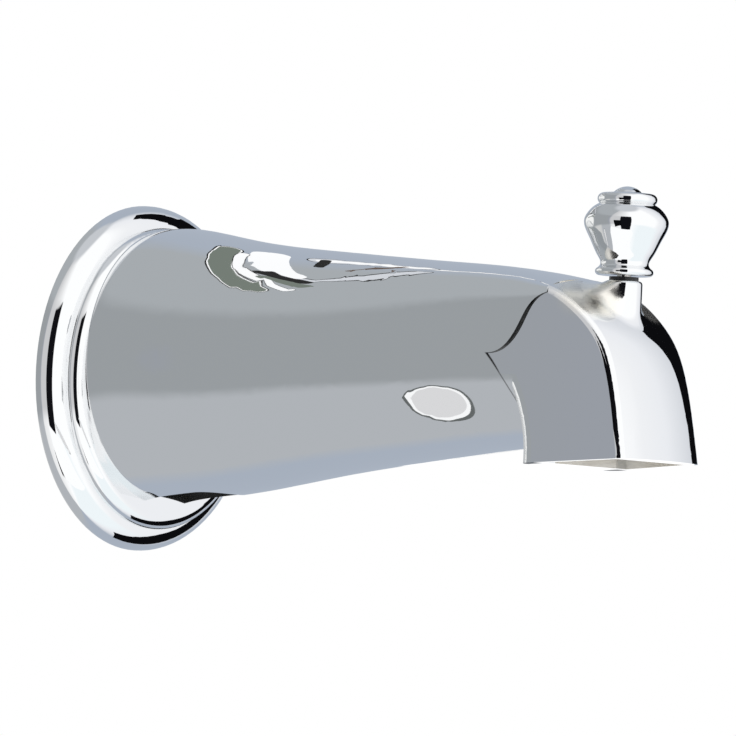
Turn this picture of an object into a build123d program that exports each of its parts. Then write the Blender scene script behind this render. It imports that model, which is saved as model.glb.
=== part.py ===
# Wall-mounted bath spout with a pull-up diverter knob.
# Frame: origin at the centre of the flange's back face on the pipe axis,
# +X out from the wall along the spout, +Z up. The part is symmetric about Y = 0.
import os
from math import cos, pi, sin

from build123d import *

os.makedirs("parts", exist_ok=True)

# Wall flange: two quarter-round mouldings turned around the pipe axis
flange_radius = 41.0
flange_edge = 0.3
flange_moulding = 5.2
collar_moulding = 2.9
flange_wall = 3.0

# Barrel: round at the foot, squarer with a crowned top at the nose
foot_overlap = 0.8
bulge_x = 20.0
waist_x = 38.0
throat_x = 54.0
middle_x = 73.0
neck_length = 33.0
shoulder_length = 16.0
elbow_length = 21.2
foot_top = 34.0
foot_bottom = -31.6
foot_half_width = 33.0
bulge_top = 35.0
bulge_bottom = -28.2
bulge_half_width = 31.8
waist_top = 32.2
waist_bottom = -25.7
waist_half_width = 28.9
throat_top = 30.8
throat_bottom = -22.7
throat_half_width = 26.7
middle_top = 29.5
middle_bottom = -19.5
middle_half_width = 24.4
neck_top = 28.2
neck_bottom = -16.5
neck_half_width = 22.3
shoulder_top = 26.9
shoulder_bottom = -14.3
shoulder_half_width = 20.8
end_top = 24.4
end_bottom = -12.5
round_power = 2.0
middle_power = 2.1
neck_power = 2.5
shoulder_power = 3.4
end_power = 10.0
shoulder_crown = 0.8
end_crown = 2.3
outline_points = 24
barrel_wall = 2.8

# Nose: a square elbow with flat tapered side panels and a crowned front.
# Its outlines are measured forward of the lip and up from the pipe axis
lip_x = 148.2
lip_z = -16.3
lip_half_width = 16.1
panel_taper = 0.142
panel_lean = 0.05
rim_rise = 0.0744
nose_wall = 2.4
crown_radius = 65.0
crown_half_span = 24.0
crown_depth = 7.0
cap_overlap = 0.4
arch_outline = [(-31.2, 25.6), (-20.5, 24.2), (-12.2, 18.9), (-5.6, 11.5), (-1.7, 1.9), (1.9, -15.6),
                (3.0, -21.0)]
core_outline = [(-21.2, 19.6), (-15.6, 16.0), (-9.6, 9.0), (-6.0, 1.0), (-2.4, -16.4), (-1.5, -21.0)]
chamber_outline = [(-20.2, 18.2), (-15.2, 15.0), (-9.4, 8.6), (-6.1, 0.8), (-2.6, -16.4), (-1.7, -21.0)]
cusp_set_back = 35.2
cusp_z = 6.6
nose_back = [(-25.8, -21.0), (-28.4, -4.4)]
panel_edge = [(-31.0, 8.0), (-27.0, 13.8), (-25.3, 17.4), (-21.0, 20.8)]
tool_reach = 45.0
tool_set_back = 52.0
panel_step = 0.5
panel_edge_fillet = 2.0
nose_back_fillet = 3.0

# Stem boss on the nose, with the guide bushing's bore
stem_set_back = 12.2
boss_radius = 4.3
boss_top = 24.5
boss_bottom = 12.5
boss_edge_radius = 0.9
boss_blend_radius = 7.0
inner_boss_height = 5.0
stem_relief = 0.5

# Partition with the water port, the port's seat and the gate guides
partition_thickness = 3.8
port_radius = 5.0
port_z = 4.0
seat_rim = 1.4
seat_height = 1.6
guide_thickness = 2.0
guide_reach = 9.5
guide_top = 11.5
guide_bottom = -13.5

# Pipe, its adapter and the bulkhead that carries the adapter
pipe_radius = 15.875 / 2
pipe_clearance = 0.11
adapter_wall = 2.95
adapter_overhang = 4.0
socket_depth = 38.0
mouth_chamfer = 0.5
passage_radius = 5.5
shoulder_height = 2.5
shoulder_thickness = 3.5
bulkhead_back = 40.0
bulkhead_thickness = 5.0
hub_wall = 3.5
hub_length = 12.0

# Rubber rings: section radius, and the play in their grooves
pipe_ring_section = 1.0
pipe_ring_places = [22.0, 29.0]
pipe_ring_squeeze = 0.08
adapter_ring_section = 0.8
adapter_ring_set = 6.0
ring_play = 0.05

# Set screw under the adapter and the slot that reaches it
screw_x = 14.0
screw_radius = 2.5
screw_length = 10.0
screw_gap = 0.35
screw_socket_across = 2.5
screw_socket_depth = 3.0
screw_lug_radius = 5.0
screw_lug_bottom = -16.5
slot_half_width = 7.8
slot_front = 30.0

# Lifting stem, its bushing and the gate it carries
stem_radius = 1.6
stem_clearance = 0.05
bushing_wall = 1.3
bushing_collar_overhang = 0.4
bushing_collar_height = 0.8
stem_lift = 11.0
gate_half_width = 6.5
gate_height = 12.0
gate_thickness = 2.4
stem_gap = 1.4
seal_radius = 5.7
seal_thickness = 1.4
seal_recess = 0.7
seat_clearance = 0.3
guide_clearance = 0.3
gate_lug_height = 5.0
gate_lug_drop = 4.0
gate_lug_wall = 1.4
stem_head_radius = 2.6
stem_head_height = 1.4

# Knob: a turned finial, outline heights measured from its foot
knob_gap = 0.3
knob_bead_radius = 6.65
knob_bead_height = 1.6
knob_bead_inset = 0.8
knob_neck = (5.5, 2.75)
knob_urn_points = [(6.3, 4.5), (8.2, 8.3), (9.6, 12.6), (8.9, 14.1)]
knob_ring_foot = (6.3, 16.35)
knob_ring_middle = (6.8, 17.2)
knob_ring_top = (5.2, 18.7)
knob_dome_foot = (3.2, 19.0)
knob_dome_rise = 1.35
knob_bore_depth = 10.0

# Places that follow from the sizes above
collar_radius = flange_radius - flange_moulding
flange_front = flange_edge + flange_moulding
collar_front = flange_front + collar_moulding
collar_land_radius = collar_radius - collar_moulding
barrel_foot_x = collar_front - flange_wall - foot_overlap
barrel_end_x = lip_x - elbow_length
stem_x = lip_x - stem_set_back
gate_front = stem_x - stem_radius - stem_gap
gate_back = gate_front - gate_thickness
seal_back = gate_back + seal_recess - seal_thickness
partition_front = seal_back - seat_clearance - seat_height
partition_back = partition_front - partition_thickness
cusp = (lip_x - cusp_set_back, cusp_z)


def from_lip(outline):
    """Outline points moved to the lip's place along the spout."""
    return [(lip_x + x, z) for x, z in outline]


def section_points(top, bottom, half_width, power, crown):
    """Closed outline: a half ellipse below, a squarer half with a crowned top above."""
    middle = (top + bottom) / 2
    half_height = (top - bottom) / 2
    points = []
    for index in range(outline_points):
        angle = 2 * pi * index / outline_points
        upper = sin(angle) > 0
        exponent = 2 / (power if upper else round_power)
        across = abs(cos(angle)) ** exponent
        upward = abs(sin(angle)) ** exponent
        rise = upward * (half_height - crown * across ** 2) if upper else -upward * half_height
        points.append((half_width * (across if cos(angle) >= 0 else -across), middle + rise))
    return points


def stations(inset):
    """Barrel sections from the foot to the nose, drawn in by the inset."""
    sizes = [
        (barrel_foot_x, foot_top, foot_bottom, foot_half_width, round_power, 0),
        (bulge_x, bulge_top, bulge_bottom, bulge_half_width, round_power, 0),
        (waist_x, waist_top, waist_bottom, waist_half_width, round_power, 0),
        (throat_x, throat_top, throat_bottom, throat_half_width, round_power, 0),
        (middle_x, middle_top, middle_bottom, middle_half_width, middle_power, 0),
        (barrel_end_x - neck_length, neck_top, neck_bottom, neck_half_width, neck_power, 0),
        (barrel_end_x - shoulder_length, shoulder_top, shoulder_bottom, shoulder_half_width,
         shoulder_power, shoulder_crown),
        (barrel_end_x, end_top, end_bottom, panel_half_width(barrel_end_x, cusp_z) + panel_step,
         end_power, end_crown),
    ]
    return [(x, top - inset, bottom + inset, half - inset, *form) for x, top, bottom, half, *form in sizes]


def panel_half_width(x, z):
    """Half width of the nose between its flat side panels."""
    return lip_half_width + panel_taper * (lip_x - x) - panel_lean * (z - lip_z)


def wedge_corners(level, inset):
    """Plan outline between the two side panels at one height."""
    front_x = lip_x + tool_reach
    back_x = lip_x - tool_set_back
    back = panel_half_width(back_x, level) - inset
    front = panel_half_width(front_x, level) - inset
    return [(back_x, -back), (front_x, -front), (front_x, front), (back_x, back)]


with BuildPart() as barrel:
    for x, *form in stations(0):
        with BuildSketch(Plane.YZ.offset(x)):
            with BuildLine():
                Spline(*section_points(*form), periodic=True)
            make_face()
    loft()

with BuildPart() as side_wedge:
    for level in (-tool_reach, tool_reach):
        with BuildSketch(Plane.XY.offset(level)):
            with BuildLine():
                Polyline(*wedge_corners(level, 0), close=True)
            make_face()
    loft(ruled=True)

# What stands outside the side panels, forward of their brace-shaped back edge
nose_heel, nose_back_middle = from_lip(nose_back)
with BuildPart() as panel_relief:
    with BuildSketch(Plane.XZ):
        with BuildLine():
            brace = Spline(cusp, *from_lip(panel_edge))
            Polyline(brace @ 1, ((brace @ 1).X, tool_reach), (lip_x + tool_reach, tool_reach),
                     (lip_x + tool_reach, -tool_reach), (nose_heel[0], -tool_reach), nose_heel)
            ThreePointArc(nose_heel, nose_back_middle, cusp)
        make_face()
    extrude(amount=tool_reach, both=True)
    add(side_wedge.part, mode=Mode.SUBTRACT)

# The elbow: a crowned cap swept along the arch, filled by a core, trimmed to the panels and the rim
rim_plane = Plane(origin=(lip_x, 0, lip_z), x_dir=(0, 1, 0), z_dir=(-rim_rise, 0, 1))
crown_drop = crown_radius - (crown_radius ** 2 - crown_half_span ** 2) ** 0.5
with BuildPart() as nose:
    with BuildLine() as arch:
        Spline(*[(x, 0, z) for x, z in from_lip(arch_outline)])
    arch_start = Plane(origin=arch.line @ 0, x_dir=(0, 1, 0), z_dir=arch.line % 0)
    with BuildSketch(arch_start):
        with BuildLine():
            ThreePointArc((-crown_half_span, -crown_drop), (0, 0), (crown_half_span, -crown_drop))
            Polyline((crown_half_span, -crown_drop), (crown_half_span, -crown_depth),
                     (-crown_half_span, -crown_depth), (-crown_half_span, -crown_drop))
        make_face()
    sweep(path=arch.line)
    split(bisect_by=Plane.YZ.offset(barrel_end_x - cap_overlap), keep=Keep.TOP)
    with BuildSketch(Plane.XZ):
        with BuildLine():
            core = Spline(*from_lip(core_outline))
            Line(core @ 1, nose_heel)
            ThreePointArc(nose_heel, nose_back_middle, cusp)
            Line(cusp, core @ 0)
        make_face()
    extrude(amount=tool_reach, both=True)
    add(side_wedge.part, mode=Mode.INTERSECT)
    split(bisect_by=rim_plane, keep=Keep.TOP)
    fillet(nose.edges().sort_by(SortBy.LENGTH)[-2:], radius=panel_edge_fillet)
    sides = nose.faces().sort_by(Axis.Y)
    side_edges = sides[0].edges() + sides[-1].edges()
    low_edges = [edge for edge in side_edges if edge.center().Z < cusp_z]
    back_edges = [edge for edge in low_edges if edge.center().X < nose_heel[0]]
    fillet(back_edges, radius=nose_back_fillet)
    with Locations((stem_x, 0, boss_bottom)):
        Cylinder(boss_radius, boss_top - boss_bottom, align=(Align.CENTER, Align.CENTER, Align.MIN))
    fillet(nose.edges().filter_by(GeomType.CIRCLE).sort_by(Axis.Z)[-1], radius=boss_edge_radius)
    boss_side = nose.faces().filter_by(GeomType.CYLINDER).sort_by_distance((stem_x, 0, boss_top))[0]
    fillet(boss_side.edges().filter_by(GeomType.BSPLINE), radius=boss_blend_radius)

# The hollow of the barrel, shut off by the bulkhead and by the partition behind the outlet
adapter_radius = pipe_radius + pipe_clearance + adapter_wall
hub_radius = adapter_radius + hub_wall
with BuildPart() as barrel_hollow:
    for x, top, bottom, half, *form in stations(barrel_wall):
        with BuildSketch(Plane.YZ.offset(x)):
            with Locations((0, (top + bottom) / 2)):
                Ellipse(half, (top - bottom) / 2)
    loft()
    split(bisect_by=Plane.YZ.offset(partition_back), keep=Keep.BOTTOM)
    with BuildSketch(Plane.YZ.offset(bulkhead_back)):
        Rectangle(2 * tool_reach, 2 * tool_reach)
    extrude(amount=bulkhead_thickness, mode=Mode.SUBTRACT)

# The outlet chamber inside the nose, open at the rim
with BuildPart() as panel_wedge:
    for level in (-tool_reach, tool_reach):
        with BuildSketch(Plane.XY.offset(level)):
            with BuildLine():
                Polyline(*wedge_corners(level, nose_wall), close=True)
            make_face()
    loft(ruled=True)

with BuildPart() as outlet_hollow:
    with BuildSketch(Plane.XZ):
        with BuildLine():
            chamber = Spline(*from_lip(chamber_outline))
            Polyline(chamber @ 1, (partition_front, (chamber @ 1).Y), chamber @ 0)
        make_face()
    extrude(amount=tool_reach, both=True)
    add(panel_wedge.part, mode=Mode.INTERSECT)

bushing_radius = stem_radius + stem_clearance + bushing_wall
guide_face = gate_half_width + guide_clearance
with BuildPart() as spout_body:
    with BuildSketch(Plane.XZ):
        with BuildLine():
            Polyline((collar_front, collar_land_radius), (collar_front, 0), (0, 0), (0, flange_radius),
                     (flange_edge, flange_radius))
            CenterArc((flange_edge, collar_radius), flange_moulding, 0, 90)
            CenterArc((flange_front, collar_land_radius), collar_moulding, 0, 90)
        make_face()
    revolve(axis=Axis.X)
    add(barrel.part)
    add(panel_relief.part, mode=Mode.SUBTRACT)
    add(nose.part)
    with BuildSketch(Plane.YZ):
        Circle(flange_radius - flange_wall)
    extrude(amount=flange_front - flange_wall, mode=Mode.SUBTRACT)
    with BuildSketch(Plane.YZ):
        Circle(collar_radius - flange_wall)
    extrude(amount=collar_front - flange_wall, mode=Mode.SUBTRACT)
    add(barrel_hollow.part, mode=Mode.SUBTRACT)
    add(outlet_hollow.part, mode=Mode.SUBTRACT)
    with BuildSketch(Plane.YZ.offset(bulkhead_back)):
        Circle(hub_radius)
    extrude(amount=hub_length)
    with BuildSketch(Plane.YZ.offset(bulkhead_back)):
        Circle(adapter_radius)
    extrude(amount=hub_length, mode=Mode.SUBTRACT)
    with BuildSketch(Plane.YZ.offset(partition_front)):
        with Locations((0, port_z)):
            Circle(port_radius + seat_rim)
    extrude(amount=seat_height)
    with BuildSketch(Plane.YZ.offset(partition_back)):
        with Locations((0, port_z)):
            Circle(port_radius)
    extrude(amount=partition_thickness + seat_height, mode=Mode.SUBTRACT)
    for side in (-1, 1):
        with BuildSketch(Plane.YZ.offset(partition_front)):
            with Locations((side * (guide_face + guide_thickness / 2), (guide_top + guide_bottom) / 2)):
                Rectangle(guide_thickness, guide_top - guide_bottom)
        extrude(amount=guide_reach)
    with BuildSketch(Plane.XY.offset(boss_bottom)):
        with Locations((stem_x, 0)):
            Circle(boss_radius)
    extrude(amount=inner_boss_height)
    with BuildSketch(Plane.XY.offset(boss_bottom)):
        with Locations((stem_x, 0)):
            Circle(bushing_radius)
    extrude(amount=boss_top - boss_bottom, mode=Mode.SUBTRACT)
    with BuildSketch(Plane.XY.offset(boss_bottom)):
        with Locations((stem_x, 0)):
            Circle(stem_radius + stem_relief)
    extrude(amount=-inner_boss_height, mode=Mode.SUBTRACT)
    with BuildSketch(Plane.XY):
        with Locations((slot_front - slot_half_width, 0)):
            Circle(slot_half_width)
        with Locations(((collar_front + slot_front - slot_half_width) / 2, 0)):
            Rectangle(slot_front - slot_half_width - collar_front, 2 * slot_half_width)
    extrude(amount=-tool_reach, mode=Mode.SUBTRACT)
spout_body.part.label = "spout_body"
export_step(spout_body.part, "parts/spout_body.step")

# Brass sleeve over the supply pipe, shouldered against the bulkhead
socket_radius = pipe_radius + pipe_clearance
pipe_ring_centre = pipe_radius - pipe_ring_squeeze + pipe_ring_section
pipe_groove_radius = pipe_ring_centre + pipe_ring_section + ring_play
adapter_ring_centre = adapter_radius - ring_play - adapter_ring_section
adapter_groove_radius = adapter_ring_centre - adapter_ring_section - ring_play
adapter_ring_x = bulkhead_back + adapter_ring_set
adapter_front = bulkhead_back + hub_length + adapter_overhang
with BuildPart() as inlet_adapter:
    with BuildSketch(Plane.YZ):
        Circle(adapter_radius)
    extrude(amount=adapter_front)
    with BuildSketch(Plane.YZ.offset(bulkhead_back)):
        Circle(adapter_radius + shoulder_height)
    extrude(amount=-shoulder_thickness)
    with BuildSketch(Plane.XY.offset(screw_lug_bottom)):
        with Locations((screw_x, 0)):
            Circle(screw_lug_radius)
    extrude(amount=-screw_lug_bottom)
    with BuildSketch(Plane.YZ):
        Circle(socket_radius)
    extrude(amount=socket_depth, mode=Mode.SUBTRACT)
    with BuildSketch(Plane.YZ):
        Circle(passage_radius)
    extrude(amount=adapter_front, mode=Mode.SUBTRACT)
    for place in pipe_ring_places:
        with BuildSketch(Plane.YZ.offset(place - pipe_ring_section - ring_play)):
            Circle(pipe_groove_radius)
        extrude(amount=2 * (pipe_ring_section + ring_play), mode=Mode.SUBTRACT)
    with BuildSketch(Plane.YZ.offset(adapter_ring_x - adapter_ring_section - ring_play)):
        Circle(adapter_radius)
        Circle(adapter_groove_radius, mode=Mode.SUBTRACT)
    extrude(amount=2 * (adapter_ring_section + ring_play), mode=Mode.SUBTRACT)
    with BuildSketch(Plane.XY.offset(screw_lug_bottom)):
        with Locations((screw_x, 0)):
            Circle(screw_radius)
    extrude(amount=-screw_lug_bottom, mode=Mode.SUBTRACT)
    mouth = inlet_adapter.edges().filter_by(GeomType.CIRCLE).group_by(Axis.X)[0].sort_by(SortBy.RADIUS)[0]
    chamfer(mouth, length=mouth_chamfer)
inlet_adapter.part.label = "inlet_adapter"
export_step(inlet_adapter.part, "parts/inlet_adapter.step")

# Rubber rings in the adapter's grooves
with BuildPart() as pipe_o_rings:
    for place in pipe_ring_places:
        with BuildSketch(Plane.XZ):
            with Locations((place, pipe_ring_centre)):
                Circle(pipe_ring_section)
        revolve(axis=Axis.X)
pipe_o_rings.part.label = "pipe_o_rings"
export_step(pipe_o_rings.part, "parts/pipe_o_rings.step")

with BuildPart() as adapter_o_ring:
    with BuildSketch(Plane.XZ):
        with Locations((adapter_ring_x, adapter_ring_centre)):
            Circle(adapter_ring_section)
    revolve(axis=Axis.X)
adapter_o_ring.part.label = "adapter_o_ring"
export_step(adapter_o_ring.part, "parts/adapter_o_ring.step")

# Socket screw that clamps the pipe from below
screw_tip = -pipe_radius - screw_gap
with BuildPart() as set_screw:
    with BuildSketch(Plane.XY.offset(screw_tip)):
        with Locations((screw_x, 0)):
            Circle(screw_radius)
    extrude(amount=-screw_length)
    with BuildSketch(Plane.XY.offset(screw_tip - screw_length)):
        with Locations((screw_x, 0)):
            RegularPolygon(screw_socket_across / 2, 6, major_radius=False)
    extrude(amount=screw_socket_depth, mode=Mode.SUBTRACT)
set_screw.part.label = "set_screw"
export_step(set_screw.part, "parts/set_screw.step")

# Guide bushing: its collar shows between boss and knob
bore_radius = stem_radius + stem_clearance
with BuildPart() as stem_bushing:
    with BuildSketch(Plane.XY.offset(boss_bottom)):
        with Locations((stem_x, 0)):
            Circle(bushing_radius)
    extrude(amount=boss_top - boss_bottom)
    with BuildSketch(Plane.XY.offset(boss_top)):
        with Locations((stem_x, 0)):
            Circle(bushing_radius + bushing_collar_overhang)
    extrude(amount=bushing_collar_height)
    with BuildSketch(Plane.XY.offset(boss_bottom)):
        with Locations((stem_x, 0)):
            Circle(bore_radius)
    extrude(amount=boss_top + bushing_collar_height - boss_bottom, mode=Mode.SUBTRACT)
stem_bushing.part.label = "stem_bushing"
export_step(stem_bushing.part, "parts/stem_bushing.step")

# Gate: a plate behind the stem, with a lug that hangs on the stem's head
gate_middle = port_z - stem_lift
gate_top = gate_middle + gate_height / 2
lug_top = gate_top - gate_lug_drop
lug_reach = stem_gap + 2 * stem_radius + gate_lug_wall
lug_half_width = stem_radius + gate_lug_wall
with BuildPart() as gate:
    with BuildSketch(Plane.YZ.offset(gate_back)):
        with Locations((0, gate_middle)):
            Rectangle(2 * gate_half_width, gate_height)
    extrude(amount=gate_thickness)
    with BuildSketch(Plane.YZ.offset(gate_front)):
        with Locations((0, lug_top - gate_lug_height / 2)):
            Rectangle(2 * lug_half_width, gate_lug_height)
    extrude(amount=lug_reach)
    with BuildSketch(Plane.YZ.offset(gate_back)):
        with Locations((0, gate_middle)):
            Circle(seal_radius)
    extrude(amount=seal_recess, mode=Mode.SUBTRACT)
    with BuildSketch(Plane.XY.offset(lug_top - gate_lug_height)):
        with Locations((stem_x, 0)):
            Circle(stem_radius)
    extrude(amount=gate_lug_height + gate_lug_drop, mode=Mode.SUBTRACT)
gate.part.label = "gate"
export_step(gate.part, "parts/gate.step")

with BuildPart() as gate_seal:
    with BuildSketch(Plane.YZ.offset(seal_back)):
        with Locations((0, gate_middle)):
            Circle(seal_radius)
    extrude(amount=seal_thickness)
gate_seal.part.label = "gate_seal"
export_step(gate_seal.part, "parts/gate_seal.step")

# Stem: headed below the gate's lug, held in the knob above
knob_foot = boss_top + bushing_collar_height + knob_gap
lug_foot = lug_top - gate_lug_height
with BuildPart() as stem:
    with BuildSketch(Plane.XY.offset(lug_foot)):
        with Locations((stem_x, 0)):
            Circle(stem_head_radius)
    extrude(amount=-stem_head_height)
    with BuildSketch(Plane.XY.offset(lug_foot)):
        with Locations((stem_x, 0)):
            Circle(stem_radius)
    extrude(amount=knob_foot + knob_bore_depth - lug_foot)
stem.part.label = "stem"
export_step(stem.part, "parts/stem.step")

# Knob: bead, neck, urn, ring and dome turned about the stem
knob_plane = Plane(origin=(stem_x, 0, knob_foot), x_dir=(1, 0, 0), z_dir=(0, -1, 0))
bead_foot = (knob_bead_radius - knob_bead_inset, 0)
bead_top = (knob_bead_radius - knob_bead_inset / 2, knob_bead_height)
dome_radius, dome_foot_z = knob_dome_foot
dome_top = (0, dome_foot_z + knob_dome_rise)
dome_sphere = (dome_radius ** 2 + knob_dome_rise ** 2) / (2 * knob_dome_rise)
with BuildPart() as knob:
    with BuildSketch(knob_plane):
        with BuildLine():
            Polyline(dome_top, (0, 0), bead_foot)
            ThreePointArc(bead_foot, (knob_bead_radius, knob_bead_height / 2), bead_top)
            Spline(bead_top, knob_neck, *knob_urn_points, knob_ring_foot)
            ThreePointArc(knob_ring_foot, knob_ring_middle, knob_ring_top)
            Line(knob_ring_top, knob_dome_foot)
            RadiusArc(knob_dome_foot, dome_top, -dome_sphere)
        make_face()
    revolve(axis=Axis((stem_x, 0, 0), (0, 0, 1)))
    with BuildSketch(Plane.XY.offset(knob_foot)):
        with Locations((stem_x, 0)):
            Circle(stem_radius)
    extrude(amount=knob_bore_depth, mode=Mode.SUBTRACT)
knob.part.label = "knob"
export_step(knob.part, "parts/knob.step")
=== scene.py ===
# %% [markdown]
# # A chrome bath spout with a lift knob
# The real object is a cast spout with a mirror-bright plated skin. Its solids come from CAD, in
# metres, at their true size and place. This lesson gives them their finishes and builds the
# studio around them, because a mirror has no colour of its own: it shows what stands around it.

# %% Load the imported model
import math

import bpy
import numpy as np
from mathutils import Matrix

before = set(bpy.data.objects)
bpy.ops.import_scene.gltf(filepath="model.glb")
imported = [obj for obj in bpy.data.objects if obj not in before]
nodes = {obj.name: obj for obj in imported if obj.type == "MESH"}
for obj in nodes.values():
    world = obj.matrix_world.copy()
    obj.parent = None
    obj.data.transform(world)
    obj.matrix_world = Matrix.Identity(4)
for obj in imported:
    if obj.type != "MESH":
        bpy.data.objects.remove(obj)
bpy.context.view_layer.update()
scene = bpy.context.scene
scene.view_settings.view_transform = "Standard"
print("nodes:", sorted(nodes))

# %% [markdown]
# ## The camera
# The picture was taken with a long lens from about 1.7 m away, a little below the spout. Three
# directions that are square to each other place a camera: right, up and back towards the lens.
# They are the columns of its rotation, so no angles have to be guessed.

# %% Place the camera
camera_place = (1.0195, -1.3314, -0.0599)
camera_right = (0.81312, 0.58019, 0.04728)
camera_up = (-0.01596, -0.05898, 0.99814)
camera_back = (0.58189, -0.81235, -0.03870)
sensor_width = 36.0
focal_pixels = 7045.0
frame_pixels = 736

camera_data = bpy.data.cameras.new("camera")
camera_data.sensor_fit = "HORIZONTAL"
camera_data.sensor_width = sensor_width
camera_data.lens = sensor_width * focal_pixels / frame_pixels
camera_data.clip_end = 50.0
camera = bpy.data.objects.new("camera", camera_data)
rotation = Matrix((camera_right, camera_up, camera_back)).transposed()
camera.matrix_world = Matrix.Translation(camera_place) @ rotation.to_4x4()
scene.collection.objects.link(camera)
scene.camera = camera
camera_turn = math.atan2(camera_back[1], camera_back[0])
print("lens:", round(camera_data.lens, 1), "mm, seen from", round(math.degrees(camera_turn), 1), "degrees")

# %% [markdown]
# ## Short words for node trees
# Materials and the world are small programs made of nodes. A few helpers keep the recipes short
# enough to read: add makes a node, feed fills a socket, and sums does arithmetic. Masks are
# numbers from 0 to 1: step and window make soft ones, all_of and any_of join them, and opposite
# turns one round. A window is 1 between two values and 0 outside them. blend and ramp mix colours.

# %% Node helpers
def add(tree, kind, **settings):
    """New node of that kind, with its settings."""
    node = tree.nodes.new(kind)
    for name, value in settings.items():
        setattr(node, name, value)
    return node


def feed(tree, socket, value):
    """A socket gets a link from another socket, or a plain value."""
    if isinstance(value, bpy.types.NodeSocket):
        tree.links.new(value, socket)
    else:
        socket.default_value = value


def sums(tree, operation, *values):
    """One Math node over sockets and numbers."""
    node = add(tree, "ShaderNodeMath", operation=operation)
    for socket, value in zip(node.inputs, values):
        feed(tree, socket, value)
    return node.outputs[0]


def step(tree, value, start, end):
    """0 before start, 1 after end, smooth between; start may be the larger one."""
    node = add(tree, "ShaderNodeMapRange", interpolation_type="SMOOTHSTEP")
    feed(tree, node.inputs["Value"], value)
    rising = start < end
    node.inputs["From Min"].default_value = start if rising else end
    node.inputs["From Max"].default_value = end if rising else start
    node.inputs["To Min"].default_value = 0.0 if rising else 1.0
    node.inputs["To Max"].default_value = 1.0 if rising else 0.0
    return node.outputs[0]


def all_of(tree, first, *others):
    """Product of masks: 1 only where all of them are 1."""
    for mask in others:
        first = sums(tree, "MULTIPLY", first, mask)
    return first


def any_of(tree, first, *others):
    """Largest of masks: 1 where any of them is 1."""
    for mask in others:
        first = sums(tree, "MAXIMUM", first, mask)
    return first


def opposite(tree, mask):
    """1 where the mask is 0, and 0 where it is 1."""
    return sums(tree, "SUBTRACT", 1.0, mask)


def window(tree, value, low, high, soft):
    """1 between low and high, 0 outside, with edges as wide as soft."""
    opens = step(tree, value, low - soft / 2, low + soft / 2)
    shuts = step(tree, value, high + soft / 2, high - soft / 2)
    return all_of(tree, opens, shuts)


def blend(tree, factor, first, second):
    """Colour that goes from first to second with the factor; 6, 7 and 2 are a Mix node's colour sockets."""
    node = add(tree, "ShaderNodeMix", data_type="RGBA")
    feed(tree, node.inputs["Factor"], factor)
    feed(tree, node.inputs[6], first)
    feed(tree, node.inputs[7], second)
    return node.outputs[2]


def ramp(tree, value, stops, interpolation="LINEAR"):
    """Colour ramp with (place, colour) stops."""
    node = add(tree, "ShaderNodeValToRGB")
    node.color_ramp.interpolation = interpolation
    feed(tree, node.inputs["Fac"], value)
    elements = node.color_ramp.elements
    while len(elements) < len(stops):
        elements.new(1.0)
    for element, (place, colour) in zip(elements, stops):
        element.position = place
        element.color = (*colour, 1.0)
    return node.outputs["Color"]


print("node helpers are ready")

# %% [markdown]
# ## The studio round the spout
# A photographer lights chrome with large cards: a white one on the right, a grey one on the left
# and a dark gap between them, where the lens looks through. Here the cards are painted on the
# world, as colours round the horizon at three heights. Angles count from the camera, to the
# right, in degrees. Only the camera itself sees plain white.

# %% Colours of the studio
behind = (0.43, 0.48, 0.56)
flank_low = (0.485, 0.505, 0.53)
flank_middle = (0.355, 0.375, 0.39)
flank_high = (0.43, 0.455, 0.475)
flank_blue = (0.352, 0.372, 0.412)
left_wall = (0.68, 0.68, 0.67, 1.0)
left_slit = (1.0, 1.0, 0.98, 1.0)
card_grey = (0.64, 0.64, 0.65)
card_pale = (0.92, 0.92, 0.92)
card_low = (0.97, 1.03, 1.05)
card_white = (1.12, 1.12, 1.12)
card_bright = (0.98, 0.985, 1.0)
card_blue = (0.93, 0.94, 0.97)
card_edge = (0.74, 0.76, 0.80)
ceiling = (0.62, 0.64, 0.67)
gap_dark = (0.006, 0.006, 0.008, 1.0)
back_left = [(-180, behind), (-168, behind)]
back_right = [(114, card_blue), (133, card_edge), (150, behind), (180, behind)]
white_side = [(12, card_white), (84, card_white), (98, card_bright)] + back_right
low_side = [(12, card_white), (36, card_low), (98, card_low)] + back_right
low_ring = back_left + [(-150, flank_low), (-53, flank_low), (-48, card_pale)] + low_side
middle_ring = back_left + [(-150, flank_middle), (-54.8, flank_middle), (-54.3, flank_blue),
                           (-51, flank_blue), (-46, card_grey), (-10, card_grey)] + white_side
high_ring = back_left + [(-150, flank_high), (-53, flank_high), (-48, card_grey),
                         (-10, card_pale)] + white_side
print("stops in the rings:", len(low_ring), len(middle_ring), len(high_ring))

# %% [markdown]
# ## The world that the mirror sees
# The three rings lie one above the other and blend at soft edges, given as pairs of heights in
# degrees. On the side of the wall that carries the spout, where X is negative, stand a low pale
# card and a bright slit. The dark gap comes last, because it stands in front of everything else.

# %% World
low_edge, high_edge, ceiling_edge = (-20, -31), (34, 46), (67, 77)
wall_edge, wall_top = (-0.58, -0.68), (-20, -28)
slit_edge, slit_heights, slit_soft = (-0.90, -0.94), (-20, 24), 6
gap_angles, gap_soft = (-19.6, 11.4), 1.5
gap_heights, gap_height_soft = (-64, 38), 3

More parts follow.
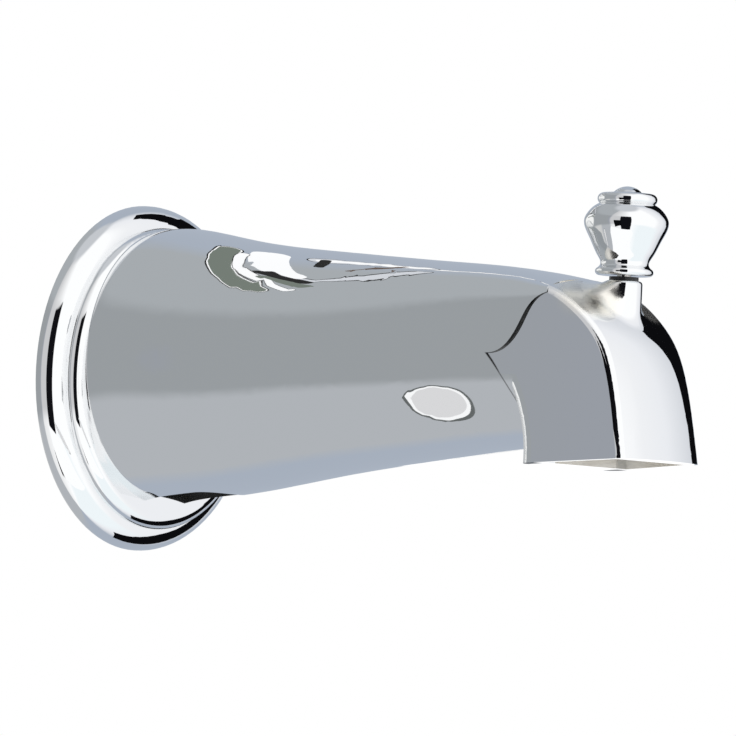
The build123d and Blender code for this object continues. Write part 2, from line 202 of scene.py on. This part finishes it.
world = bpy.data.worlds.new("studio")
scene.world = world
world.use_nodes = True
tree = world.node_tree
tree.nodes.clear()
direction = add(tree, "ShaderNodeTexCoord").outputs["Generated"]
turned = add(tree, "ShaderNodeVectorRotate", rotation_type="Z_AXIS")
feed(tree, turned.inputs["Vector"], direction)
turned.inputs["Angle"].default_value = -camera_turn
sides = add(tree, "ShaderNodeSeparateXYZ")
feed(tree, sides.inputs[0], turned.outputs[0])
angle = sums(tree, "DEGREES", sums(tree, "ARCTAN2", sides.outputs["Y"], sides.outputs["X"]))
height = sums(tree, "DEGREES", sums(tree, "ARCSINE", sides.outputs["Z"]))
around = sums(tree, "MULTIPLY_ADD", angle, 1 / 360, 0.5)


def ring(stops):
    """Colours round the horizon; a stop's place is its angle from the camera in degrees."""
    return ramp(tree, around, [(0.5 + place / 360, colour) for place, colour in stops])


look = blend(tree, step(tree, height, *low_edge), ring(middle_ring), ring(low_ring))
look = blend(tree, step(tree, height, *high_edge), look, ring(high_ring))
look = blend(tree, step(tree, height, *ceiling_edge), look, (*ceiling, 1.0))
to_left = add(tree, "ShaderNodeSeparateXYZ")
feed(tree, to_left.inputs[0], direction)
left_x = to_left.outputs["X"]
wall = all_of(tree, step(tree, left_x, *wall_edge), step(tree, height, *wall_top))
look = blend(tree, wall, look, left_wall)
slit = all_of(tree, step(tree, left_x, *slit_edge), window(tree, height, *slit_heights, slit_soft))
look = blend(tree, slit, look, left_slit)
gap = all_of(tree, window(tree, angle, *gap_angles, gap_soft),
             window(tree, height, *gap_heights, gap_height_soft))
look = blend(tree, gap, look, gap_dark)

rays = add(tree, "ShaderNodeLightPath")
shown = blend(tree, rays.outputs["Is Camera Ray"], look, (1.0, 1.0, 1.0, 1.0))
background = add(tree, "ShaderNodeBackground")
feed(tree, background.inputs["Color"], shown)
feed(tree, add(tree, "ShaderNodeOutputWorld").inputs["Surface"], background.outputs[0])
print("world nodes:", len(tree.nodes))

# %% [markdown]
# ## Cards close to the spout
# Some cards stand so near that the flange and the nose see them at different angles, which a
# world can't do. They are real flat meshes, and only mirrors see them. Each one is a grid over
# two parameters: a plain card runs along two edges from a corner, an outline card joins rows of
# its own widths, and an oval or a bent strip is rings at the distance r from its middle, coloured
# by r and clear from behind. Black flags draw the dark edges of the nose and the flange, the
# apron and the rim card keep their edges white, and grey cards give the far side its tones.

# %% Meshes and lights of cards
def surface(name, points, closed, material):
    """Mesh object from a grid of points (rows, columns, 3); closed joins the last column to the first."""
    rows, columns, _ = points.shape
    index = np.arange(rows * columns).reshape(rows, columns)
    if closed:
        index = np.concatenate([index, index[:, :1]], axis=1)
    quads = np.stack([index[:-1, :-1], index[:-1, 1:], index[1:, 1:], index[1:, :-1]], -1).reshape(-1, 4)
    mesh = bpy.data.meshes.new(name)
    mesh.from_pydata(points.reshape(-1, 3).tolist(), [], quads.tolist())
    mesh.materials.append(material)
    piece = bpy.data.objects.new(name, mesh)
    scene.collection.objects.link(piece)
    return piece


def glow(name, colour):
    """Plain light of one colour."""
    material = bpy.data.materials.new(name)
    material.use_nodes = True
    tree = material.node_tree
    tree.nodes.clear()
    light = add(tree, "ShaderNodeEmission")
    feed(tree, light.inputs["Color"], (*colour, 1.0))
    feed(tree, add(tree, "ShaderNodeOutputMaterial").inputs["Surface"], light.outputs[0])
    return material


def banded_glow(name, stops):
    """Light in bands over the attribute reach; only the front of the card shows it."""
    material = glow(name, stops[0][1])
    tree = material.node_tree
    reach = add(tree, "ShaderNodeAttribute", attribute_name="reach").outputs["Fac"]
    feed(tree, tree.nodes["Emission"].inputs["Color"], ramp(tree, reach, stops, "CONSTANT"))
    front = add(tree, "ShaderNodeMixShader")
    feed(tree, front.inputs[0], add(tree, "ShaderNodeNewGeometry").outputs["Backfacing"])
    feed(tree, front.inputs[1], tree.nodes["Emission"].outputs[0])
    feed(tree, front.inputs[2], add(tree, "ShaderNodeBsdfTransparent").outputs[0])
    feed(tree, tree.nodes["Material Output"].inputs["Surface"], front.outputs[0])
    return material


print("meshes and lights of cards are ready")


# %% Kinds of card
card_rings, oval_points = 25, 64
side_points, end_points = 24, 13


def mirrors_only(piece):
    """Stage that the camera, the lamps and the shadows pass through."""
    piece.visible_camera = False
    piece.visible_diffuse = False
    piece.visible_shadow = False
    piece.visible_transmission = False
    return piece


def plain_card(name, corner, first, second, colour):
    """Flat card: corner + u * first + v * second, with u and v from 0 to 1."""
    u, v = np.meshgrid(np.linspace(0, 1, 2), np.linspace(0, 1, 2))
    points = np.array(corner) + u[..., None] * np.array(first) + v[..., None] * np.array(second)
    return mirrors_only(surface(name, points, False, glow(name, colour)))


def banded_card(name, middle, outward, facing, stops):
    """Flat card: middle point + r * outward, r from 0 to 1 kept as reach, turned to face one way."""
    r = np.linspace(0, 1, card_rings)
    points = middle[None] + r[:, None, None] * outward[None]
    piece = surface(name, points, True, banded_glow(name, stops))
    reach = piece.data.attributes.new("reach", "FLOAT", "POINT")
    reach.data.foreach_set("value", np.repeat(r, len(outward)))
    if sum(face.area * face.normal.dot(facing) for face in piece.data.polygons) < 0:
        piece.data.flip_normals()
    return mirrors_only(piece)


def oval_card(name, centre, first, second, bend, facing, stops):
    """Bent oval: centre + r * (cos(turn) * first + sin(turn) * second + cos(2 * turn) * bend)."""
    turn = np.linspace(0, 2 * math.pi, oval_points, endpoint=False)[:, None]
    first, second, bend = np.array(first), np.array(second), np.array(bend)
    outward = np.cos(turn) * first + np.sin(turn) * second + np.cos(2 * turn) * bend
    return banded_card(name, np.tile(centre, (oval_points, 1)), outward, facing, stops)


def bent_strip(name, x, bend, radius, stops):
    """Upright strip at one x: (1-t)^2 * first + 2t(1-t) * middle + t^2 * last, and r * radius round it.

    The curve starts at the first of three (y, z) places, is drawn towards the middle one and stops at
    the last one, with round ends.
    """
    first, middle, last = (np.array([x, *place]) for place in bend)
    forth = np.linspace(0, 1, side_points)
    t = np.concatenate([forth, np.ones(end_points), forth[::-1], np.zeros(end_points)])[:, None]
    turn = np.concatenate([np.full(side_points, -90), np.linspace(-90, 90, end_points),
                           np.full(side_points, 90), np.linspace(90, 270, end_points)])
    turn = np.radians(turn)[:, None]
    axis = (1 - t) ** 2 * first + 2 * t * (1 - t) * middle + t ** 2 * last
    along = (1 - t) * (middle - first) + t * (last - middle)
    along = along / np.linalg.norm(along, axis=1, keepdims=True)
    across = np.cross([1.0, 0, 0], along)
    outward = radius * (np.cos(turn) * along + np.sin(turn) * across)
    return banded_card(name, axis, outward, (1, 0, 0), stops)


def outline_card(name, y, rows, colour):
    """Upright card at one y: rows of (height, left x, right x), joined from row to row."""
    z, left, right = np.array(rows).T
    x = np.stack([left, right], 1)
    points = np.stack([x, np.full_like(x, y), np.stack([z, z], 1)], -1)
    return mirrors_only(surface(name, points, False, glow(name, colour)))


print("points round an oval:", oval_points, "and round a strip:", 2 * (side_points + end_points))

# %% [markdown]
# ## Place the cards
# Where a card stands follows from what the spout shows: a line from the lens to a bright or dark
# mark is mirrored at the surface, and the card has to lie on that line. The flag behind the spout
# has a stepped outline, because the flange and the nose each see another part of it.

# %% Flags, apron, rim and oval
table_level = -0.181
flag_y, back_y, rim_y = 0.287, 0.060, 0.200
black = (0.004, 0.004, 0.005)
# Height, left x and right x of each row
flag_rows = [(-0.55, -0.030, 0.187), (-0.12, 0.035, 0.187), (-0.06, 0.059, 0.175), (0.02, 0.059, 0.180),
             (0.03, 0.059, 0.199), (0.05, 0.059, 0.199), (0.07, -0.005, 0.199), (0.20, -0.015, 0.193),
             (0.21, 0.045, 0.187), (0.45, 0.060, 0.187)]
outline_card("black_flag", flag_y, flag_rows, black)
# Name, corner, both edges from it and colour
plain_cards = [
    ("lens_flag", (0.136, -0.100, -0.035), (0.0425, -0.0198, 0), (0, 0, 0.075), black),
    ("white_apron", (0.042, -0.093, table_level), (0.013, -0.224, 0), (0.244, 0.175, 0), card_white),
    ("back_card_low", (-0.030, back_y, -0.019), (0.154, 0, 0), (0, 0, 0.022), flank_middle),
    ("back_card_high", (-0.030, back_y, 0.003), (0.154, 0, 0), (0, 0, 0.016), flank_low),
    ("rim_card", (-0.060, rim_y, -0.050), (0.090, 0, 0), (0, 0, 0.030), card_white),
]
for name, corner, first, second, colour in plain_cards:
    plain_card(name, corner, first, second, colour)
oval_bands = [(0.0, (0.77, 0.765, 0.77)), (0.80, (1.05, 1.05, 1.05)), (0.91, (0.14, 0.15, 0.15))]
oval_card("pale_oval", centre=(0.0726, -0.0550, -0.050), first=(-0.0087, -0.0027, 0),
          second=(-0.0119, -0.0367, 0), bend=(0.0020, 0.0027, 0), facing=(0, 0, 1), stops=oval_bands)
print("cards:", len(plain_cards) + 2)

# %% [markdown]
# ## The lamp that hangs over the barrel
# The streak along the top of the barrel is the mirror image of the lamp above it: a dull olive
# head, bright lips, dark seams and a long pale arm. Narrow bent strips stand for them, in
# millimetres. Each lies one thin step behind the one before it, so that the first covers the rest.

# %% Strips of the lamp
white = (1.10, 1.10, 1.10)
pale = (0.72, 0.74, 0.78)
olive = (0.20, 0.23, 0.20)
seam = (0.03, 0.03, 0.03)
brown = (0.16, 0.12, 0.10)
lamp_x, lamp_step = 0.008, 0.0002
millimetre = 0.001
# Name, the three (y, z) places that bend it, radius and bands of colour
lamp_strips = [
    ("lamp_seam", [(38, 92), (30, 99), (18, 103)], 2.4, [(0.0, seam)]),
    ("lamp_dark", [(-11, 94), (-18, 103), (-25, 111)], 3.2, [(0.0, seam)]),
    ("lamp_shade", [(-19, 97), (-27, 105), (-36, 112)], 3.6, [(0.0, olive)]),
    ("lamp_lip", [(14, 75), (-10, 89), (-46, 106)], 2.4, [(0.0, white), (0.85, seam)]),
    ("lamp_head", [(14, 68), (-10, 83), (-45, 95)], 5.2, [(0.0, olive), (0.78, white), (0.88, seam)]),
    ("lamp_plate", [(25, 78), (8, 92), (-14, 105)], 6.6, [(0.0, white)]),
    ("lamp_arm_edge", [(16, 118), (36, 121), (60, 113)], 1.2, [(0.0, brown)]),
    ("lamp_arm", [(38, 95), (48, 104), (63, 117)], 7.6, [(0.0, white), (0.55, pale), (0.90, seam)]),
    ("lamp_hook", [(-20, 112), (-30, 132), (44, 130)], 3.8, [(0.0, pale), (0.70, seam)]),
    ("lamp_cord", [(61, 120), (70, 164), (110, 193)], 3.6, [(0.0, white), (0.80, brown)]),
]
for layer, (name, bend, radius, stops) in enumerate(lamp_strips):
    bend = [(y * millimetre, z * millimetre) for y, z in bend]
    bent_strip(name, lamp_x - layer * lamp_step, bend, radius * millimetre, stops)

# %% [markdown]
# ## Floor and lamp
# A pale floor lies below the spout and takes its shadow. It is hidden from mirrors, which have
# the painted studio to show, and clear from underneath, so that the mouth and the slot for the
# set screw can be looked at from below. One broad lamp overhead gives plastics and brass a plain
# level of light and throws the soft shadow.

# %% Floor
floor_level, floor_half, floor_lines = -0.12, 1.5, 9
floor_dark, floor_light = (0.64, 0.64, 0.65, 1.0), (0.68, 0.68, 0.69, 1.0)
floor_mottle, floor_roughness = 9.0, 0.9

span = np.linspace(-floor_half, floor_half, floor_lines)
floor_x, floor_y = np.meshgrid(span, span)
floor_paint = bpy.data.materials.new("floor_paint")
floor_paint.use_nodes = True
tree = floor_paint.node_tree
mottle = add(tree, "ShaderNodeTexNoise")
feed(tree, mottle.inputs["Vector"], add(tree, "ShaderNodeTexCoord").outputs["Object"])
mottle.inputs["Scale"].default_value = floor_mottle
paint = tree.nodes["Principled BSDF"]
feed(tree, paint.inputs["Base Color"], blend(tree, mottle.outputs["Fac"], floor_dark, floor_light))
paint.inputs["Roughness"].default_value = floor_roughness
from_above = add(tree, "ShaderNodeMixShader")
feed(tree, from_above.inputs[0], add(tree, "ShaderNodeNewGeometry").outputs["Backfacing"])
feed(tree, from_above.inputs[1], paint.outputs[0])
feed(tree, from_above.inputs[2], add(tree, "ShaderNodeBsdfTransparent").outputs[0])
feed(tree, tree.nodes["Material Output"].inputs["Surface"], from_above.outputs[0])
floor_points = np.stack([floor_x, floor_y, np.full_like(floor_x, floor_level)], -1)
floor = surface("floor", floor_points, False, floor_paint)
floor.visible_glossy = False
print("floor at", floor_level, "m,", 2 * floor_half, "m wide")

# %% Lamp overhead
overhead_watts, overhead_width = 9.0, 0.9
overhead_place, overhead_tilt = (0.25, -0.35, 1.15), (0.28, 0.2, 0.0)

overhead_light = bpy.data.lights.new("overhead_lamp", "AREA")
overhead_light.energy = overhead_watts
overhead_light.size = overhead_width
overhead_lamp = bpy.data.objects.new("overhead_lamp", overhead_light)
overhead_lamp.location = overhead_place
overhead_lamp.rotation_euler = overhead_tilt
overhead_lamp.visible_glossy = False
scene.collection.objects.link(overhead_lamp)
print("lamp of", overhead_light.energy, "W at", overhead_place)

# %% [markdown]
# ## Effects that several finishes share
# Plated, turned and moulded parts each carry marks of how they were made. Each kind of mark is
# one node group with named inputs, so that every finish can use it at its own scale:
# - **polish**: faint haze in patches, and a ripple far too shallow to feel, as buffing leaves them;
# - **turned**: fine rings along one axis, from the lathe;
# - **moulded**: a soft grain, as plastic and rubber take it from their mould.

# %% Helpers of the effects
def group(name, given, results):
    """Node group with number inputs (name: start value) and outputs; gives its tree and both ends."""
    tree = bpy.data.node_groups.new(name, "ShaderNodeTree")
    for label, value in given.items():
        socket = tree.interface.new_socket(label, in_out="INPUT", socket_type="NodeSocketFloat")
        socket.default_value = value
    for label in results:
        tree.interface.new_socket(label, in_out="OUTPUT", socket_type="NodeSocketFloat")
    return tree, add(tree, "NodeGroupInput").outputs, add(tree, "NodeGroupOutput").inputs


def noise(tree, vector, scale, detail=2.0):
    """Noise from 0 to 1 over a vector."""
    node = add(tree, "ShaderNodeTexNoise")
    feed(tree, node.inputs["Vector"], vector)
    feed(tree, node.inputs["Scale"], scale)
    node.inputs["Detail"].default_value = detail
    return node.outputs["Fac"]


def between(tree, factor, low, high):
    """Number that goes from low to high with the factor; 2, 3 and 0 are a Mix node's number sockets."""
    node = add(tree, "ShaderNodeMix", data_type="FLOAT")
    feed(tree, node.inputs["Factor"], factor)
    feed(tree, node.inputs[2], low)
    feed(tree, node.inputs[3], high)
    return node.outputs[0]


print("helpers of the effects are ready")

# %% Polish
haze_edge, haze_detail = (0.40, 0.70), 4.0
ripple_scale, ripple_detail = 90.0, 0.0

polish_inputs = {"Clean": 0.012, "Hazy": 0.03, "Patches": 40.0, "Ripple": 0.00001}
tree, given, result = group("polish", polish_inputs, ["Roughness", "Height"])
place = add(tree, "ShaderNodeTexCoord").outputs["Object"]
haze = step(tree, noise(tree, place, given["Patches"], haze_detail), *haze_edge)
feed(tree, result["Roughness"], between(tree, haze, given["Clean"], given["Hazy"]))
ripple = noise(tree, place, ripple_scale, ripple_detail)
feed(tree, result["Height"], sums(tree, "MULTIPLY", ripple, given["Ripple"]))
print("polish takes", list(polish_inputs))

# %% Lathe rings
ring_edge = (0.25, 0.75)

turned_inputs = {"Along": 0.0, "Lines": 4000.0, "Depth": 0.00001}
tree, given, result = group("turned", turned_inputs, ["Shade", "Height"])
rings = add(tree, "ShaderNodeTexNoise", noise_dimensions="1D")
feed(tree, rings.inputs["W"], sums(tree, "MULTIPLY", given["Along"], given["Lines"]))
rings.inputs["Scale"].default_value = 1.0
feed(tree, result["Shade"], step(tree, rings.outputs["Fac"], *ring_edge))
feed(tree, result["Height"], sums(tree, "MULTIPLY", rings.outputs["Fac"], given["Depth"]))
print("turned takes", list(turned_inputs))

# %% Moulded grain
shade_share, shade_edge = 0.12, (0.3, 0.7)

moulded_inputs = {"Grain": 900.0, "Depth": 0.00003}
tree, given, result = group("moulded", moulded_inputs, ["Shade", "Height"])
place = add(tree, "ShaderNodeTexCoord").outputs["Object"]
shade = noise(tree, place, sums(tree, "MULTIPLY", given["Grain"], shade_share))
feed(tree, result["Shade"], step(tree, shade, *shade_edge))
feed(tree, result["Height"], sums(tree, "MULTIPLY", noise(tree, place, given["Grain"]), given["Depth"]))
print("moulded takes", list(moulded_inputs))

# %% [markdown]
# ## Where the casting was never polished
# Only the outside of the spout reaches the buffing wheel. The way the water takes, the back of
# the flange and the walls that guide the gate keep the dull skin of the mould. A surface is
# inside when it faces the middle line of the spout, so the mask compares each normal with the
# way from that line to the point. Pairs of numbers are soft edges or the ends of a stretch, in
# metres; those named turned say which way a surface faces.

# %% Mask for the unpolished inside
line_start, nose_x = 0.105, 0.131
barrel_line_z, nose_line_z = 0.003, -0.006
boss_x, boss_z = (0.118, 0.120), (0.0172, 0.0180)
guide_x, guide_z, guide_reach = (0.124, 0.139), (-0.0145, 0.0125), 0.0125
back_x, wall_x, edge_soft = (0.100, 0.098), (0.020, 0.135), 0.0005
turned_in, turned_back, turned_front = (-0.0002, -0.0008), (-0.55, -0.65), (0.88, 0.92)

tree, given, result = group("inside", {}, ["Mask", "Shadow", "Hollow"])
place = add(tree, "ShaderNodeSeparateXYZ")
feed(tree, place.inputs[0], add(tree, "ShaderNodeTexCoord").outputs["Object"])
x, y, z = place.outputs
sideways = sums(tree, "ABSOLUTE", y)
normal = add(tree, "ShaderNodeNewGeometry").outputs["Normal"]
normal_parts = add(tree, "ShaderNodeSeparateXYZ")
feed(tree, normal_parts.inputs[0], normal)
normal_x = normal_parts.outputs["X"]
line_z = between(tree, step(tree, x, line_start, nose_x), barrel_line_z, nose_line_z)
outward = add(tree, "ShaderNodeCombineXYZ")
feed(tree, outward.inputs["X"], sums(tree, "MAXIMUM", sums(tree, "SUBTRACT", x, nose_x), 0.0))
feed(tree, outward.inputs["Y"], y)
feed(tree, outward.inputs["Z"], sums(tree, "SUBTRACT", z, line_z))
facing = add(tree, "ShaderNodeVectorMath", operation="DOT_PRODUCT")
feed(tree, facing.inputs[0], outward.outputs[0])
feed(tree, facing.inputs[1], normal)
stem_boss = all_of(tree, step(tree, x, *boss_x), step(tree, z, *boss_z))
inward = all_of(tree, step(tree, facing.outputs["Value"], *turned_in), opposite(tree, stem_boss))
back = all_of(tree, step(tree, normal_x, *turned_back), step(tree, x, *back_x))
middle = window(tree, y, -guide_reach, guide_reach, edge_soft)
walls = all_of(tree, step(tree, normal_x, *turned_front), window(tree, x, *wall_x, 2 * edge_soft), middle)
guides = all_of(tree, window(tree, x, *guide_x, edge_soft), middle, window(tree, z, *guide_z, edge_soft))
feed(tree, result["Mask"], any_of(tree, inward, back, walls, guides))
print("nodes of the inside mask:", len(tree.nodes))

# %% [markdown]
# ## Edges with painted shade
# The step behind the side panel and the slot under the barrel are painted nearly black: painted
# shade and a painted dark reflection in the step, and painted shade in the slot, which opens into
# the dark. The step is where the normal lies along the panel; its lower end fades into a fine
# painted dark line along an arc, found by the distance from the arc's centre.

# %% Mask for the painted shade on the edges
def length(tree, x=0.0, y=0.0, z=0.0):
    """Length of a vector from its three parts."""
    parts = add(tree, "ShaderNodeCombineXYZ")
    for socket, value in zip(parts.inputs, (x, y, z)):
        feed(tree, socket, value)
    node = add(tree, "ShaderNodeVectorMath", operation="LENGTH")
    feed(tree, node.inputs[0], parts.outputs[0])
    return node.outputs["Value"]


panel_y, panel_normal = (0.0150, 0.0155), (0.25, 0.12)
brace_x, mouth_x, mouth_z = (0.100, 0.131), (0.1262, 0.1268), (-0.0095, -0.0105)
arc_x, arc_z, arc_radius, arc_line = 0.08491, -0.01837, 0.03759, 0.00016
arc_start, arc_heights, arc_depth = (0.100, 0.101), (-0.0060, 0.0066), 0.6
slot_x, slot_z = (0.060, 0.058), (-0.015, -0.017)

# Painted shade: the step behind the panel, a thin line along the arc and the slot are painted near-black
outside = step(tree, sideways, *panel_y)
along = step(tree, sums(tree, "ABSOLUTE", normal_parts.outputs["Y"]), *panel_normal)
mouth = all_of(tree, step(tree, x, *mouth_x), step(tree, z, *mouth_z))
brace = all_of(tree, along, outside, window(tree, x, *brace_x, edge_soft), opposite(tree, mouth))
from_arc = length(tree, x=sums(tree, "SUBTRACT", x, arc_x), z=sums(tree, "SUBTRACT", z, arc_z))
arc = all_of(tree, window(tree, from_arc, arc_radius - arc_line, arc_radius + arc_line, arc_line),
             window(tree, z, *arc_heights, edge_soft), step(tree, x, *arc_start), outside, arc_depth)
slot = all_of(tree, step(tree, x, *slot_x), step(tree, z, *slot_z), inward)
feed(tree, result["Shadow"], any_of(tree, brace, arc, slot))
print("nodes with the dark edges:", len(tree.nodes))

# %% [markdown]
# ## The hollow beside the stem
# The wheel can't reach right into the saddle on both sides of the stem's boss, so the plating
# there is duller; its warmer, cream tone is a painted reflection. A ball round one point marks it,
# mirrored to both sides by taking Y without its sign.

# %% Mask for the hollow
saddle_x, saddle_y, saddle_z = 0.1332, 0.0098, 0.0205
saddle_reach = (0.0092, 0.0060)

from_saddle = length(tree, sums(tree, "SUBTRACT", x, saddle_x), sums(tree, "SUBTRACT", sideways, saddle_y),
                     sums(tree, "SUBTRACT", z, saddle_z))
feed(tree, result["Hollow"], step(tree, from_saddle, *saddle_reach))
print("nodes with the hollow:", len(tree.nodes))

# %% [markdown]
# ## Chrome
# Chrome plating is a metal shader with a nearly white colour and almost no roughness. On the body
# the masks change it: cast metal inside, creamy, grainy and dull, near-black edges of painted shade,
# and a duller hollow with a painted warm reflection. A mirror seen in another mirror is made a
# little rougher, which keeps it free of grain.

# %% Chrome of the body
def new_finish(name):
    """New material, its node tree and its shader."""
    material = bpy.data.materials.new(name)
    material.use_nodes = True
    return material, material.node_tree, material.node_tree.nodes["Principled BSDF"]


def effect(tree, name, **values):
    """Outputs of a shared effect, with its inputs set or joined."""
    node = add(tree, "ShaderNodeGroup", node_tree=bpy.data.node_groups[name])
    for label, value in values.items():
        feed(tree, node.inputs[label], value)
    return node.outputs


def relief(tree, shader, height):
    """Relief of that height in metres on the shader's normal."""
    node = add(tree, "ShaderNodeBump")
    node.inputs["Distance"].default_value = 1.0
    feed(tree, node.inputs["Height"], height)
    feed(tree, shader.inputs["Normal"], node.outputs[0])


chrome, hollow_painted_reflection = (0.88, 0.89, 0.90, 1.0), (1.0, 0.97, 0.90, 1.0)
cast_dark, cast_light = (0.86, 0.81, 0.71, 1.0), (1.0, 0.97, 0.90, 1.0)
painted_shade_dark = (0.015, 0.016, 0.016, 1.0)
hollow_roughness, cast_roughness, edge_roughness, mirrored_roughness = 0.28, 0.36, 0.40, 0.16
chrome_ripple, cast_grain, cast_depth, cast_metallic = 0.000002, 700.0, 0.00012, 0.25

polished_chrome, tree, shader = new_finish("polished_chrome")
buffed = effect(tree, "polish", Ripple=chrome_ripple)
places = effect(tree, "inside")
mask = places["Mask"]
cast = effect(tree, "moulded", Grain=cast_grain, Depth=cast_depth)
cast_tone = blend(tree, cast["Shade"], cast_dark, cast_light)
# Painted reflection: the hollow beside the stem gets a warm cream tone
tone = blend(tree, places["Hollow"], chrome, hollow_painted_reflection)
tone = blend(tree, mask, tone, cast_tone)
# Painted shade and dark reflection: the Shadow mask paints the step, the arc line and the slot near-black
feed(tree, shader.inputs["Base Color"], blend(tree, places["Shadow"], tone, painted_shade_dark))
dullness = between(tree, places["Hollow"], buffed["Roughness"], hollow_roughness)
dullness = between(tree, mask, dullness, cast_roughness)
dullness = between(tree, places["Shadow"], dullness, edge_roughness)
mirrored = add(tree, "ShaderNodeLightPath").outputs["Is Glossy Ray"]
duller = sums(tree, "MAXIMUM", dullness, mirrored_roughness)
feed(tree, shader.inputs["Roughness"], between(tree, mirrored, dullness, duller))
feed(tree, shader.inputs["Metallic"], between(tree, mask, 1.0, cast_metallic))
relief(tree, shader, between(tree, mask, buffed["Height"], cast["Height"]))
print("nodes in the body's chrome:", len(tree.nodes))

# %% Chrome of the knob
knob_patches = 90.0

knob_chrome, tree, shader = new_finish("knob_chrome")
buffed = effect(tree, "polish", Patches=knob_patches, Ripple=chrome_ripple)
shader.inputs["Base Color"].default_value = chrome
shader.inputs["Metallic"].default_value = 1.0
mirrored = add(tree, "ShaderNodeLightPath").outputs["Is Glossy Ray"]
feed(tree, shader.inputs["Roughness"], between(tree, mirrored, buffed["Roughness"], mirrored_roughness))
relief(tree, shader, buffed["Height"])
print("nodes in the knob's chrome:", len(tree.nodes))

# %% [markdown]
# ## The other finishes
# The stem, the set screw and the wall adapter come off a lathe and show its rings. The collar
# round the stem, the gate and the seals are moulded, so they have a grain and no sharp shine.

# %% Metals from the lathe
def object_axis(tree, axis):
    """One of the object's own coordinates, X, Y or Z, in metres."""
    node = add(tree, "ShaderNodeSeparateXYZ")
    feed(tree, node.inputs[0], add(tree, "ShaderNodeTexCoord").outputs["Object"])
    return node.outputs[axis]


def turned_metal(name, dark, light, roughness, axis, lines):
    """Metal with lathe rings along one axis of the object, so many to the metre."""
    material, tree, shader = new_finish(name)
    rings = effect(tree, "turned", Along=object_axis(tree, axis), Lines=lines)
    feed(tree, shader.inputs["Base Color"], blend(tree, rings["Shade"], (*dark, 1.0), (*light, 1.0)))
    shader.inputs["Metallic"].default_value = 1.0
    shader.inputs["Roughness"].default_value = roughness
    relief(tree, shader, rings["Height"])
    return material


stem_steel = turned_metal("stem_steel", dark=(0.58, 0.57, 0.55), light=(0.66, 0.65, 0.63),
                          roughness=0.22, axis="Z", lines=5000.0)
screw_steel = turned_metal("screw_steel", dark=(0.30, 0.30, 0.31), light=(0.40, 0.40, 0.41),
                           roughness=0.35, axis="Z", lines=4000.0)
adapter_brass = turned_metal("adapter_brass", dark=(0.70, 0.50, 0.22), light=(0.80, 0.60, 0.30),
                             roughness=0.28, axis="X", lines=3000.0)
print("metals:", [metal.name for metal in (stem_steel, screw_steel, adapter_brass)])


# %% Moulded plastics and rubber
def moulded_stuff(name, dark, light, roughness, grain):
    """Plastic or rubber with a moulded grain."""
    material, tree, shader = new_finish(name)
    skin = effect(tree, "moulded", Grain=grain)
    feed(tree, shader.inputs["Base Color"], blend(tree, skin["Shade"], (*dark, 1.0), (*light, 1.0)))
    shader.inputs["Roughness"].default_value = roughness
    relief(tree, shader, skin["Height"])
    return material


bushing_plastic = moulded_stuff("bushing_plastic", dark=(0.012, 0.012, 0.013),
                                light=(0.022, 0.022, 0.023), roughness=0.38, grain=1500.0)
gate_plastic = moulded_stuff("gate_plastic", dark=(0.62, 0.61, 0.57), light=(0.70, 0.69, 0.65),
                             roughness=0.45, grain=1200.0)
seal_rubber = moulded_stuff("seal_rubber", dark=(0.014, 0.014, 0.014), light=(0.026, 0.026, 0.025),
                            roughness=0.62, grain=1800.0)
print("moulded:", [stuff.name for stuff in (bushing_plastic, gate_plastic, seal_rubber)])

# %% [markdown]
# ## Put the finishes on
# Every solid keeps the shape and the place that it has from CAD, and only its material changes.
# Blender keeps materials in slots of the mesh, so the slots are emptied before the new finish goes
# in. The rings round the pipe and the adapter and the disc on the gate are all of one rubber.

# %% Give every part its finish
finishes = {
    "spout_body": polished_chrome,
    "knob": knob_chrome,
    "stem_bushing": bushing_plastic,
    "stem": stem_steel,
    "gate": gate_plastic,
    "gate_seal": seal_rubber,
    "inlet_adapter": adapter_brass,
    "pipe_o_rings": seal_rubber,
    "adapter_o_ring": seal_rubber,
    "set_screw": screw_steel,
}
for name, node in nodes.items():
    node.data.materials.clear()
    node.data.materials.append(finishes[name])
    print(name, "-", finishes[name].name)
